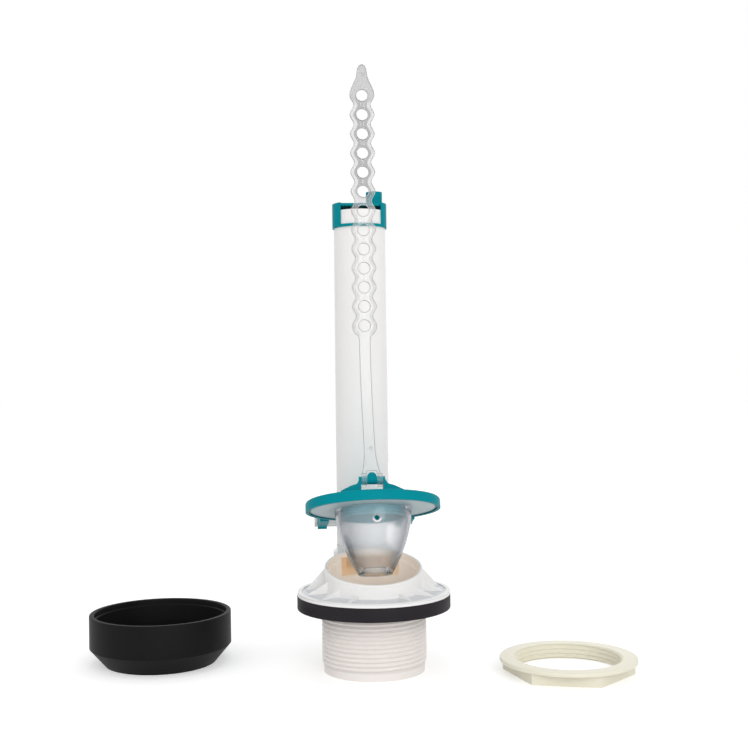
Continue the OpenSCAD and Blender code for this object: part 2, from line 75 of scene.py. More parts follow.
# %% [markdown]
# ## Camera
# The photograph was taken from almost level with the middle of the tube, a little to the left, with a
# lens of about 55 mm on a 36 mm sensor. The place and the small roll were fitted to the round edges of
# the shank, the gasket and the tube, so the camera is set by those few numbers and not by eye.

# %% Place the camera
CAMERA_PLACE = Vector((-60.2, -619.2, 160.5)) * MM
CAMERA_HEADING = math.radians(5.70)
CAMERA_PITCH = math.radians(0.09)
CAMERA_ROLL = math.radians(0.71)
CAMERA_LENS = 54.62
SENSOR_WIDTH = 36.0

bpy.ops.object.select_all(action="DESELECT")
bpy.ops.object.camera_add(location=CAMERA_PLACE)
camera = bpy.context.object
camera.name = "photo_camera"
camera.data.sensor_width = SENSOR_WIDTH
camera.data.lens = CAMERA_LENS
heading = Matrix.Rotation(-CAMERA_HEADING, 4, "Z")
pitch = Matrix.Rotation(math.radians(90) + CAMERA_PITCH, 4, "X")
roll = Matrix.Rotation(-CAMERA_ROLL, 4, "Z")
camera.rotation_euler = (heading @ pitch @ roll).to_euler()
bpy.context.scene.camera = camera
print("camera at", [round(c, 4) for c in camera.location])

# %% [markdown]
# ## Floor, world and lamps
# The photo is a catalogue picture: pure white all round, with only a soft shadow where a piece meets
# the floor. The world and the floor look white to the camera, in reflections and through clear plastic,
# by Light Path. The light that falls on the object is softer: an even sky, a large lamp in front, a
# little to the right, and weak ones at the left, above and behind. A lamp would show as a bright patch
# through the clear cone and strap, so lamps are hidden from rays that pass through a surface.

# %% White world
SKY_LIGHT = 0.74


def seen_directly(tree):
    """One for rays that look at a thing: from the camera, from gloss or through clear plastic."""
    path = tree.nodes.new("ShaderNodeLightPath")
    seen = path.outputs["Is Camera Ray"]
    for ray in ("Is Glossy Ray", "Is Transmission Ray"):
        either = tree.nodes.new("ShaderNodeMath")
        either.operation = "MAXIMUM"
        tree.links.new(seen, either.inputs[0])
        tree.links.new(path.outputs[ray], either.inputs[1])
        seen = either.outputs[0]
    return seen


world = bpy.data.worlds.new("white_studio")
bpy.context.scene.world = world
world.use_nodes = True
sky = world.node_tree.nodes["Background"]
sky.inputs["Color"].default_value = (1, 1, 1, 1)
strength = world.node_tree.nodes.new("ShaderNodeMapRange")
strength.inputs["To Min"].default_value = SKY_LIGHT
strength.inputs["To Max"].default_value = 1.0
world.node_tree.links.new(seen_directly(world.node_tree), strength.inputs["Value"])
world.node_tree.links.new(strength.outputs["Result"], sky.inputs["Strength"])
print("sky light", SKY_LIGHT)

# %% Floor that keeps the shadows
FLOOR_SIZE = 12.0
FLOOR_SHARE = 0.85
FLOOR_GLOW = 0.38

bpy.ops.object.select_all(action="DESELECT")
bpy.ops.mesh.primitive_plane_add(size=FLOOR_SIZE)
floor = bpy.context.object
floor.name = "floor"
floor_paint = bpy.data.materials.new("floor_white")
floor_paint.use_nodes = True
tree = floor_paint.node_tree
tree.nodes.remove(tree.nodes["Principled BSDF"])
matt = tree.nodes.new("ShaderNodeBsdfDiffuse")
matt.inputs["Color"].default_value = (FLOOR_SHARE, FLOOR_SHARE, FLOOR_SHARE, 1)
glow = tree.nodes.new("ShaderNodeEmission")
glow_level = tree.nodes.new("ShaderNodeMath")
glow_level.operation = "MULTIPLY"
glow_level.inputs[1].default_value = FLOOR_GLOW
tree.links.new(seen_directly(tree), glow_level.inputs[0])
tree.links.new(glow_level.outputs[0], glow.inputs["Strength"])
matt_and_glow = tree.nodes.new("ShaderNodeAddShader")
tree.links.new(matt.outputs[0], matt_and_glow.inputs[0])
tree.links.new(glow.outputs[0], matt_and_glow.inputs[1])
tree.links.new(matt_and_glow.outputs[0], tree.nodes["Material Output"].inputs["Surface"])
floor.data.materials.append(floor_paint)
print("floor", FLOOR_SIZE, "m wide")

# %% Lamps: place and size in metres, power in watts
LAMP_AIM = Vector((0, 0, 0.12))
LAMPS = {
    "key_lamp": ((0.25, -1.2, 0.5), 0.8, 5.4),
    "fill_lamp": ((-0.9, -0.6, 0.6), 0.9, 1.2),
    "top_lamp": ((0.1, 0.4, 1.3), 1.0, 0.8),
    "back_lamp": ((0.3, 1.4, 0.25), 0.8, 1.6),
}


def soft_lamp(name, place, size, watts):
    bpy.ops.object.select_all(action="DESELECT")
    bpy.ops.object.light_add(type="AREA", location=place)
    lamp = bpy.context.object
    lamp.name = name
    lamp.data.size = size
    lamp.data.energy = watts
    lamp.rotation_euler = (LAMP_AIM - Vector(place)).to_track_quat("-Z", "Y").to_euler()
    lamp.visible_transmission = False


for name, (place, size, watts) in LAMPS.items():
    soft_lamp(name, place, size, watts)
scene = bpy.context.scene
scene.view_settings.view_transform = "Standard"
print(len(LAMPS), "lamps")

# %% [markdown]
# ## Shared effects
# Moulded plastic and rubber are never one flat colour: the melt leaves a faint mottle, the mould a fine
# grain, and the gloss changes a little from place to place. Pictures could be painted on for this, but
# noise needs no seams. One node group gives all three from Object coordinates, and each finish places
# it with its own values.

# %% Node group: moulded skin
MOTTLE_DETAIL = 3.0
GRAIN_DETAIL = 2.0


def moulded_skin():
    group = bpy.data.node_groups.new("moulded_skin", "ShaderNodeTree")
    face = group.interface
    face.new_socket("Color", in_out="INPUT", socket_type="NodeSocketColor")
    for name in ("Mottle", "Mottle Scale", "Grain Scale", "Roughness", "Roughness Spread"):
        face.new_socket(name, in_out="INPUT", socket_type="NodeSocketFloat")
    face.new_socket("Color", in_out="OUTPUT", socket_type="NodeSocketColor")
    face.new_socket("Roughness", in_out="OUTPUT", socket_type="NodeSocketFloat")
    face.new_socket("Height", in_out="OUTPUT", socket_type="NodeSocketFloat")
    nodes, links = group.nodes, group.links
    given = nodes.new("NodeGroupInput")
    made = nodes.new("NodeGroupOutput")
    place = nodes.new("ShaderNodeTexCoord")

    def noise(scale_name, detail):
        node = nodes.new("ShaderNodeTexNoise")
        node.inputs["Detail"].default_value = detail
        links.new(place.outputs["Object"], node.inputs["Vector"])
        links.new(given.outputs[scale_name], node.inputs["Scale"])
        return node.outputs["Fac"]

    cloud = noise("Mottle Scale", MOTTLE_DETAIL)
    centred = nodes.new("ShaderNodeMath")
    centred.operation = "SUBTRACT"
    centred.inputs[1].default_value = 0.5
    links.new(cloud, centred.inputs[0])
    swing = nodes.new("ShaderNodeMath")
    swing.operation = "MULTIPLY_ADD"
    swing.inputs[2].default_value = 1.0
    links.new(centred.outputs[0], swing.inputs[0])
    links.new(given.outputs["Mottle"], swing.inputs[1])
    tone = nodes.new("ShaderNodeVectorMath")
    tone.operation = "SCALE"
    links.new(given.outputs["Color"], tone.inputs[0])
    links.new(swing.outputs[0], tone.inputs["Scale"])
    links.new(tone.outputs["Vector"], made.inputs["Color"])
    dull = nodes.new("ShaderNodeMath")
    dull.operation = "MULTIPLY_ADD"
    links.new(centred.outputs[0], dull.inputs[0])
    links.new(given.outputs["Roughness Spread"], dull.inputs[1])
    links.new(given.outputs["Roughness"], dull.inputs[2])
    links.new(dull.outputs[0], made.inputs["Roughness"])
    links.new(noise("Grain Scale", GRAIN_DETAIL), made.inputs["Height"])
    return group


SKIN = moulded_skin()
print("moulded skin:", len(SKIN.nodes), "nodes")

# %% A finish from the moulded skin
GRAIN_DEPTH = 0.2 * MM


def moulded_finish(name, color, roughness, specular, mottle=0.06, mottle_scale=60.0,
                   grain_scale=900.0, grain=0.05, spread=0.1):
    """A plastic or rubber whose colour, gloss and grain come from the moulded skin."""
    material = bpy.data.materials.new(name)
    material.use_nodes = True
    tree = material.node_tree
    surface = tree.nodes["Principled BSDF"]
    surface.inputs["Specular IOR Level"].default_value = specular
    skin = tree.nodes.new("ShaderNodeGroup")
    skin.node_tree = SKIN
    skin.name = "skin"
    skin.inputs["Color"].default_value = (*color, 1)
    skin.inputs["Mottle"].default_value = mottle
    skin.inputs["Mottle Scale"].default_value = mottle_scale
    skin.inputs["Grain Scale"].default_value = grain_scale
    skin.inputs["Roughness"].default_value = roughness
    skin.inputs["Roughness Spread"].default_value = spread
    bump = tree.nodes.new("ShaderNodeBump")
    bump.inputs["Strength"].default_value = grain
    bump.inputs["Distance"].default_value = GRAIN_DEPTH
    tree.links.new(skin.outputs["Height"], bump.inputs["Height"])
    tree.links.new(skin.outputs["Color"], surface.inputs["Base Color"])
    tree.links.new(skin.outputs["Roughness"], surface.inputs["Roughness"])
    tree.links.new(bump.outputs["Normal"], surface.inputs["Normal"])
    return material


# %% [markdown]
# ## Finishes
# The body, tube and nut are satin plastics, the rings are rubber and the flapper is a deep teal plastic
# whose shine is weak. A linear colour is written in the finish, about as bright as it looks in plain
# light. The rubbers have a stronger mottle and grain, because their moulds are less polished.

# %% Plastics and rubbers
FINISH = {
    "teal_plastic": moulded_finish("teal_finish", (0.002, 0.250, 0.300), roughness=0.34,
                                   specular=0.015, mottle=0.10),
    "tube_white": moulded_finish("tube_finish", (0.86, 0.848, 0.838), roughness=0.38,
                                 specular=0.25, mottle=0.03),
    "gasket_black": moulded_finish("gasket_finish", (0.015, 0.0125, 0.0155), roughness=0.55,
                                   specular=0.15, mottle=0.3, mottle_scale=150,
                                   grain_scale=1500, grain=0.2),
    "cup_black": moulded_finish("cup_finish", (0.007, 0.0065, 0.007), roughness=0.5,
                                specular=0.09, mottle=0.3, mottle_scale=120,
                                grain_scale=1200, grain=0.2),
    "nut_ivory": moulded_finish("nut_finish", (0.83, 0.795, 0.66), roughness=0.4,
                                specular=0.25, mottle_scale=40),
    "seal_grey": moulded_finish("seal_finish", (0.43, 0.54, 0.58), roughness=0.4,
                                specular=0.2, mottle=0.05, mottle_scale=50),
    "body_white": moulded_finish("body_finish", (0.86, 0.85, 0.84), roughness=0.38,
                                 specular=0.25, mottle=0.03),
}
print(len(FINISH), "moulded finishes")

# %% [markdown]
# ## Warm inside of the body, with painted light and shade
# The body's plastic looks warmer on the thick shank, and most where light has to pass through its walls:
# in the mouth under the seat and in the duct to the tube. The grooves of the thread and the floor of the
# flange lie in shade, and that shade is painted into their colour as a darker tint. These places have
# fixed coordinates, so masks from Object coordinates choose the colours, and they stay in place from every
# side. Light also comes through the thin walls from outside, red more easily than blue. Subsurface would
# give it, but with coloured noise, so the walls of the mouth and the duct get a faint warm emission by the
# same masks, a painted glow, and their warm tint is painted light as well.

# %% Tube's axis and limits of the masks in millimetres, nought at the first number, one at the second
TUBE_Y = 61
SHANK_TOP = 36, 33
THREAD_FOOT, THREAD_TOP = (3.6, 4.2), (38, 37)
GROOVE_ROOT, GROOVE_CREST = (26.5, 27.2), (28.3, 27.7)
FLANGE_LOW, FLANGE_HIGH = (42.7, 42.9), (43.4, 43.15)
FLANGE_INNER = 26, 28
MOUTH_LOW = 36, 44
MOUTH_WALL = 25.9, 25.2
DUCT_LOW, DUCT_HIGH = (46.5, 47.5), (58.9, 58.1)
DUCT_FRONT, DUCT_BACK = (17, 21), (55, 53)
DUCT_SIDE = 16.4, 15.8
TUBE_WALL = 15.0, 14.5
print("the duct runs", DUCT_BACK[0] - DUCT_FRONT[0], "mm to the tube")


# %% Node group: masks of the body's places
def inside_masks():
    group = bpy.data.node_groups.new("inside_masks", "ShaderNodeTree")
    for name in ("Shank", "Groove", "Flange", "Mouth", "Duct"):
        group.interface.new_socket(name, in_out="OUTPUT", socket_type="NodeSocketFloat")
    nodes, links = group.nodes, group.links
    made = nodes.new("NodeGroupOutput")
    place = nodes.new("ShaderNodeTexCoord")
    split = nodes.new("ShaderNodeSeparateXYZ")
    links.new(place.outputs["Object"], split.inputs[0])
    across, along, height = split.outputs
    flat = nodes.new("ShaderNodeCombineXYZ")
    links.new(across, flat.inputs["X"])
    links.new(along, flat.inputs["Y"])

    def distance(axis_y):
        """How far a place is from an upright axis in the middle plane."""
        node = nodes.new("ShaderNodeVectorMath")
        node.operation = "DISTANCE"
        node.inputs[1].default_value = (0, axis_y * MM, 0)
        links.new(flat.outputs[0], node.inputs[0])
        return node.outputs["Value"]

    def step(value, limits):
        """Goes from nought to one as a value runs from the first limit to the second."""
        node = nodes.new("ShaderNodeMapRange")
        node.interpolation_type = "SMOOTHSTEP"
        node.inputs["From Min"].default_value = limits[0] * MM
        node.inputs["From Max"].default_value = limits[1] * MM
        links.new(value, node.inputs["Value"])
        return node.outputs["Result"]

    def combined(operation, first, second):
        node = nodes.new("ShaderNodeMath")
        node.operation = operation
        links.new(first, node.inputs[0])
        links.new(second, node.inputs[1])
        return node.outputs[0]

    def both(first, second):
        return combined("MULTIPLY", first, second)

    radius = distance(0)
    links.new(step(height, SHANK_TOP), made.inputs["Shank"])

    sunk = both(step(radius, GROOVE_CREST), step(radius, GROOVE_ROOT))
    threaded = both(step(height, THREAD_FOOT), step(height, THREAD_TOP))
    links.new(both(sunk, threaded), made.inputs["Groove"])

    floor_level = both(step(height, FLANGE_LOW), step(height, FLANGE_HIGH))
    links.new(both(floor_level, step(radius, FLANGE_INNER)), made.inputs["Flange"])

    links.new(both(step(radius, MOUTH_WALL), step(height, MOUTH_LOW)), made.inputs["Mouth"])

    side = nodes.new("ShaderNodeMath")
    side.operation = "ABSOLUTE"
    links.new(across, side.inputs[0])
    length = both(step(along, DUCT_FRONT), step(along, DUCT_BACK))
    passage = both(step(side.outputs[0], DUCT_SIDE), length)
    within = combined("MAXIMUM", passage, step(distance(TUBE_Y), TUBE_WALL))
    upright = both(step(height, DUCT_HIGH), step(height, DUCT_LOW))
    links.new(both(within, upright), made.inputs["Duct"])
    return group


MASKS = inside_masks()
print("body's masks:", len(MASKS.nodes), "nodes")

# %% Paint the body's places: colour, painted shade and painted glow of each place
NO_LIGHT = (0, 0, 0)
# Groove and Flange are painted shade: darker tints in the thread's grooves and on the flange's floor. Mouth
# and Duct get a warm tint and a painted glow for light that comes through the walls.
BODY_PLACES = {
    "Shank": ((0.89, 0.84, 0.81), NO_LIGHT),
    "Groove": ((0.79, 0.74, 0.71), NO_LIGHT),
    "Flange": ((0.70, 0.71, 0.73), NO_LIGHT),
    "Mouth": ((0.84, 0.78, 0.71), (0.14, 0.108, 0.08)),
    "Duct": ((0.76, 0.64, 0.50), (0.17, 0.13, 0.09)),
}


def mixed(tree, mask, low, high):
    """The colour for nought and the colour for one, each plain or from another node."""
    mix = tree.nodes.new("ShaderNodeMix")
    mix.data_type = "RGBA"
    tree.links.new(mask, mix.inputs["Factor"])
    for socket, color in ((mix.inputs["A"], low), (mix.inputs["B"], high)):
        if isinstance(color, tuple):
            socket.default_value = (*color, 1)
        else:
            tree.links.new(color, socket)
    return mix.outputs["Result"]


def warm_inside(material, places):
    """Tints a white plastic at the named places: darker tints paint shade, and the mouth and the duct get a
    little painted glow.
    """
    tree = material.node_tree
    surface = tree.nodes["Principled BSDF"]
    masks = tree.nodes.new("ShaderNodeGroup")
    masks.node_tree = MASKS
    color, glow = tree.nodes["skin"].outputs["Color"], NO_LIGHT
    for place in places:
        tint, light = BODY_PLACES[place]
        color = mixed(tree, masks.outputs[place], color, tint)
        glow = mixed(tree, masks.outputs[place], glow, light)
    tree.links.new(color, surface.inputs["Base Color"])
    tree.links.new(glow, surface.inputs["Emission Color"])
    surface.inputs["Emission Strength"].default_value = 1.0


warm_inside(FINISH["body_white"], ("Shank", "Groove", "Flange", "Mouth", "Duct"))
warm_inside(FINISH["tube_white"], ("Duct",))
print("body and foot of the tube warmed inside")

# %% [markdown]
# ## Clear plastics
# The cone and the strap let light through, so their Transmission Weight is above nought, and the rest of
# the weight is the light that a hazy skin scatters back. The cone is hazy, the strap nearly clear and so
# thin that it bends light very little, which a low IOR gives. Light that only passes on its way to another
# surface goes straight through by Alpha, or clear pieces would cast black shadows.


# %% Hazy cone and clear strap
def clear_finish(name, tint, roughness, passes, ior, specular=0.4):
    """A clear plastic that lets a share of the light pass and scatters the rest."""
    material = moulded_finish(name, tint, roughness, specular, mottle_scale=90,
                              grain_scale=500, grain=0.03, spread=0.08)
    tree = material.node_tree
    surface = tree.nodes["Principled BSDF"]
    surface.inputs["Transmission Weight"].default_value = passes
    surface.inputs["IOR"].default_value = ior
    shade = tree.nodes.new("ShaderNodeMapRange")
    shade.inputs["To Min"].default_value = 1.0 - passes
    tree.links.new(seen_directly(tree), shade.inputs["Value"])
    tree.links.new(shade.outputs["Result"], surface.inputs["Alpha"])
    return material


FINISH["cone_clear"] = clear_finish("cone_finish", (0.995, 0.995, 0.995), roughness=0.12,
                                    passes=0.93, ior=1.40, specular=0.2)
FINISH["strap_clear"] = clear_finish("strap_finish", (0.97, 0.97, 0.97), roughness=0.08,
                                     passes=0.84, ior=1.22)
NUMBER_FINISH = clear_finish("number_finish", (0.90, 0.90, 0.90), roughness=0.45,
                             passes=0.45, ior=1.20)
LINE_FINISH = clear_finish("line_finish", (0.60, 0.595, 0.59), roughness=0.30,
                           passes=0.35, ior=1.20)
print("clear finishes:", FINISH["cone_clear"].name, FINISH["strap_clear"].name)

# %% [markdown]
# The bell's wall is seen edge on at its sides, where the way through the plastic is longest and a clear
# plastic looks darkest. Layer Weight tells how far a wall turns away, and it mixes a blue-grey into the
# tint there, a painted darkening of the sides. The upper half of the bell looks hazier than the foot:
# light that scatters inside the wall is painted there as a faint glow by emission, which fades out edge on
# and towards the foot.

# %% Darker sides and a painted glow at the top of the cone
CONE_SIDE = (0.03, 0.05, 0.08)
# The haze is a painted glow: emission for light scattered inside the upper wall, full and none at these
# heights.
CONE_PAINTED_GLOW = (0.040, 0.040, 0.047)
EDGE_ON_BLEND = 0.6
PAINTED_GLOW_FULL, PAINTED_GLOW_NONE = 73 * MM, 66 * MM


def darker_edge_on(material):
    tree = material.node_tree
    surface = tree.nodes["Principled BSDF"]
    turned = tree.nodes.new("ShaderNodeLayerWeight")
    turned.inputs["Blend"].default_value = EDGE_ON_BLEND
    color = mixed(tree, turned.outputs["Facing"], tree.nodes["skin"].outputs["Color"], CONE_SIDE)
    tree.links.new(color, surface.inputs["Base Color"])
    place = tree.nodes.new("ShaderNodeTexCoord")
    split = tree.nodes.new("ShaderNodeSeparateXYZ")
    tree.links.new(place.outputs["Object"], split.inputs[0])
    foot = tree.nodes.new("ShaderNodeMapRange")
    foot.inputs["From Min"].default_value = PAINTED_GLOW_FULL
    foot.inputs["From Max"].default_value = PAINTED_GLOW_NONE
    tree.links.new(split.outputs["Z"], foot.inputs["Value"])
    glow = mixed(tree, turned.outputs["Facing"], CONE_PAINTED_GLOW, NO_LIGHT)
    glow = mixed(tree, foot.outputs["Result"], glow, NO_LIGHT)
    tree.links.new(glow, surface.inputs["Emission Color"])
    surface.inputs["Emission Strength"].default_value = 1.0


darker_edge_on(FINISH["cone_clear"])
print("cone darker edge on, hazy at its top")

# %% [markdown]
# ## Copies of the solids
# A solid from the frame is never changed, so each piece starts as a copy of one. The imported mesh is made
# of loose triangles with stored normals: merging the doubled points joins them, the stored normals are
# cleared, and shading smooth below an angle then keeps the real edges crisp. Rings with plain edges also
# get a small bevel, which catches the light.

# %% Helpers for a piece
MERGE_WITHIN = 0.002 * MM
BEVEL_ABOVE = math.radians(35)
SMOOTH_BELOW = math.radians(32)


def pick(piece):
    """Leaves one piece selected and active, for the operators that follow."""
    bpy.ops.object.select_all(action="DESELECT")
    piece.select_set(True)
    bpy.context.view_layer.objects.active = piece


def merged_copy(node, name):
    """A free copy of a solid's mesh with its loose triangles merged."""
    pick(SOLIDS[node])
    bpy.ops.object.duplicate()
    piece = bpy.context.object
    piece.name = name
    piece.parent = None
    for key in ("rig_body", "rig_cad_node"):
        del piece[key]
    piece.data.materials.clear()
    bpy.ops.object.mode_set(mode="EDIT")
    bpy.ops.mesh.select_all(action="SELECT")
    bpy.ops.mesh.remove_doubles(threshold=MERGE_WITHIN)
    bpy.ops.object.mode_set(mode="OBJECT")
    bpy.ops.mesh.customdata_custom_splitnormals_clear()
    return piece


def bevel_edges(piece, width):
    """Rounds the sharp edges of a piece by a small width."""
    pick(piece)
    edge = piece.modifiers.new("soft_edge", "BEVEL")
    edge.width = width
    edge.segments = 2
    edge.limit_method = "ANGLE"
    edge.angle_limit = BEVEL_ABOVE
    edge.use_clamp_overlap = False
    bpy.ops.object.modifier_apply(modifier=edge.name)


def dress(piece, body, slot, node=None, finish=None):
    """Shades a piece, gives it its finish and seats it on a body, in place of a solid if one is named."""
    pick(piece)
    bpy.ops.object.shade_smooth_by_angle(angle=SMOOTH_BELOW)
    piece.data.materials.append(finish or FINISH[slot])
    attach(piece, body)
    if node:
        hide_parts(node)
    print(piece.name, len(piece.data.polygons), "faces")


# %% [markdown]
# ## Threads
# A screw thread is a small triangle swept along a helix. The Screw modifier does just that: it turns a
# profile round its object's Z axis and lifts it by the pitch on each turn. The same helper makes the
# groove that is cut from the shank and the ridge that stands inside the locknut. Its profile is a circle
# of three corners: one with a radius of 1 is 1.5 deep and the root of 3 wide, so it is then scaled to the
# wanted width.

# %% Helper: a helical wedge
THREAD_PITCH = 2.38 * MM
STEPS_PER_TURN = 72
WEDGE_BACK = 0.2 * MM
POINT_INWARD = Matrix(((0, -1, 0), (0, 0, 1), (-1, 0, 0)))


def helical_wedge(name, axis, tip_r, back_r, width, bottom, turns):
    """A wedge with its point towards the axis, wound right-handed from a height upwards."""
    circle_r = (back_r - tip_r) / 1.5
    bpy.ops.object.select_all(action="DESELECT")
    bpy.ops.mesh.primitive_circle_add(vertices=3, radius=circle_r, location=(*axis, bottom),
                                      rotation=POINT_INWARD.to_euler())
    wedge = bpy.context.object
    wedge.name = name
    bpy.ops.object.transform_apply(location=False, rotation=True, scale=False)
    bpy.ops.object.mode_set(mode="EDIT")
    bpy.ops.mesh.select_all(action="SELECT")
    bpy.ops.transform.resize(value=(1, 1, width / (math.sqrt(3) * circle_r)))
    bpy.ops.transform.translate(value=(tip_r + circle_r, 0, 0))
    bpy.ops.object.mode_set(mode="OBJECT")
    winding = wedge.modifiers.new("winding", "SCREW")
    winding.axis = "Z"
    winding.screw_offset = THREAD_PITCH
    winding.iterations = turns
    winding.steps = winding.render_steps = STEPS_PER_TURN
    bpy.ops.object.modifier_apply(modifier=winding.name)
    bpy.ops.object.mode_set(mode="EDIT")
    bpy.ops.mesh.select_all(action="SELECT")
    bpy.ops.mesh.fill_holes(sides=0)
    bpy.ops.mesh.normals_make_consistent(inside=False)
    bpy.ops.object.mode_set(mode="OBJECT")
    bpy.ops.object.transform_apply(location=True, rotation=True, scale=True)
    return wedge


# %% [markdown]
# ## Valve body
# The solid has a plain band where the real shank is threaded. The wedge is cut out of that band with a
# Boolean modifier, and it ends in the narrower lead-in below and in the neck under the gasket, where it
# cuts nothing, so the thread runs out at both ends as on the real shank.

# %% Body with its thread
THREAD_R = 28.6 * MM
THREAD_DEPTH = 0.95 * MM
GROOVE_W = 2.28 * MM
GROOVE_START = 3.2 * MM
GROOVE_TURNS = 13

body = merged_copy("valve_body", "body_moulding")
cutter = helical_wedge("shank_groove", (0, 0), THREAD_R - THREAD_DEPTH, THREAD_R + WEDGE_BACK,
                       GROOVE_W, GROOVE_START, GROOVE_TURNS)
pick(body)
cut = body.modifiers.new("thread_cut", "BOOLEAN")
cut.operation = "DIFFERENCE"
cut.solver = "EXACT"
cut.object = cutter
bpy.ops.object.modifier_apply(modifier=cut.name)
pick(cutter)
bpy.ops.object.delete()
dress(body, "valve", "body_white", "valve_body")

# %% [markdown]
# ## Tube, gasket and collar
# The tube is a plain tapered moulding with the two hinge pegs on it. The flange gasket is cut from thick
# rubber sheet, so only its edges are broken. The collar clips over the tube's rim. All three could be
# made anew from cylinders, but the solids have their shape already, so copies are enough.

# %% Pieces on the body
GASKET_BEVEL = 0.5 * MM

dress(merged_copy("overflow_tube", "tube_moulding"), "valve", "tube_white", "overflow_tube")

gasket = merged_copy("flange_gasket", "gasket_ring")
bevel_edges(gasket, GASKET_BEVEL)
dress(gasket, "valve", "gasket_black", "flange_gasket")

dress(merged_copy("refill_collar", "collar_moulding"), "valve", "teal_plastic", "refill_collar")

# %% [markdown]
# ## Flapper
# The frame carries the seal under its plate and the cone on its hub. The cone turns on the hub to set how
# long the flapper stays open, so it rides its own body. The seal's edge is pressed against the rim, and the
# narrow gap there lies in shadow: that shadow is painted on the seal as a dark band, and the distance from
# the flapper's sloping axis tells where.

# %% Painted shadow at the seal's edge
SEAL_LOW, SEAL_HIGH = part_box("flapper_seal")
SEAL_MIDDLE = (SEAL_LOW + SEAL_HIGH) / 2
SEAL_R = (SEAL_HIGH.x - SEAL_LOW.x) / 2
SEAL_BEVEL = 0.2 * MM
SEAL_SHADOW_W = 1.3 * MM
# Colour of the painted shadow in the gap between the seal's edge and the rim, and the band's width above.
SEAL_GAP_SHADOW = (0.08, 0.085, 0.11)
FLAPPER_TILT = math.radians(16)
FLAPPER_AXIS = (0, math.sin(FLAPPER_TILT), math.cos(FLAPPER_TILT))


def dark_outer_edge(material):
    tree = material.node_tree
    place = tree.nodes.new("ShaderNodeTexCoord")
    from_middle = tree.nodes.new("ShaderNodeVectorMath")
    from_middle.operation = "SUBTRACT"
    from_middle.inputs[1].default_value = SEAL_MIDDLE
    tree.links.new(place.outputs["Object"], from_middle.inputs[0])
    across = tree.nodes.new("ShaderNodeVectorMath")
    across.operation = "CROSS_PRODUCT"
    across.inputs[1].default_value = FLAPPER_AXIS
    tree.links.new(from_middle.outputs["Vector"], across.inputs[0])
    length = tree.nodes.new("ShaderNodeVectorMath")
    length.operation = "LENGTH"
    tree.links.new(across.outputs["Vector"], length.inputs[0])
    ramp = tree.nodes.new("ShaderNodeMapRange")
    ramp.inputs["From Min"].default_value = SEAL_R - SEAL_SHADOW_W
    ramp.inputs["From Max"].default_value = SEAL_R - SEAL_SHADOW_W / 2
    tree.links.new(length.outputs["Value"], ramp.inputs["Value"])
    color = mixed(tree, ramp.outputs["Result"], tree.nodes["skin"].outputs["Color"], SEAL_GAP_SHADOW)
    tree.links.new(color, tree.nodes["Principled BSDF"].inputs["Base Color"])


dark_outer_edge(FINISH["seal_grey"])
print("seal's radius", round(SEAL_R, 4))

# %% Flapper, seal and cone
dress(merged_copy("flapper_frame", "flapper_moulding"), "flapper", "teal_plastic", "flapper_frame")

seal = merged_copy("flapper_seal", "seal_ring")
bevel_edges(seal, SEAL_BEVEL)
dress(seal, "flapper", "seal_grey", "flapper_seal")

dress(merged_copy("air_cone", "cone_bell"), "cone", "cone_clear", "air_cone")

# %% [markdown]
# ## Lift strap
# The strap is a clear moulding with thirteen hook holes. Its edges are hazy and look pale, and the web
# between them is clear near the flapper and turns a darker grey towards the free end. A painted picture
# could carry this, but the edge runs as a cosine along the row of holes, so a few Math nodes on Object
# coordinates tell it from the web, and a ramp along the height brings the grey in. The rings round the bar
# look quite clear, so a second ramp lowers Alpha there.

# %% Places along the strap
STRAP_LOW, STRAP_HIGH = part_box("lift_strap")
STRAP_X = -2.9 * MM
STRAP_MIDDLE = (STRAP_LOW.y + STRAP_HIGH.y) / 2
WEB_HALF = 0.75 * MM
STRAP_FRONT = STRAP_MIDDLE - WEB_HALF
TIP_LENGTH = 16.9 * MM
HOLE_PITCH = 10.57 * MM
HOLE_COUNT = 13
LAST_HOLE_Z = STRAP_HIGH.z - TIP_LENGTH
FIRST_HOLE_Z = LAST_HOLE_Z - (HOLE_COUNT - 1) * HOLE_PITCH
TIP_START_Z = LAST_HOLE_Z - HOLE_PITCH / 2
BEAD_HALF, NECK_HALF = 6.7 * MM, 4.5 * MM
print("first hole at", round(FIRST_HOLE_Z, 4), "last hole at", round(LAST_HOLE_Z, 4))

# %% Tints of the strap's web and edges
EDGE_W = 1.9 * MM
EDGE_BLUR = 0.2 * MM
GREYER_LOW, GREYER_HIGH = 250 * MM, 266 * MM
CLEAR_LOW, CLEAR_HIGH = 106 * MM, 122 * MM
RING_COVER = 0.4
TIP_PALE = 0.46
WEB_TINTS = (0.93, 0.93, 0.93), (0.48, 0.48, 0.485)
EDGE_TINTS = (0.80, 0.80, 0.80), (0.77, 0.77, 0.765)


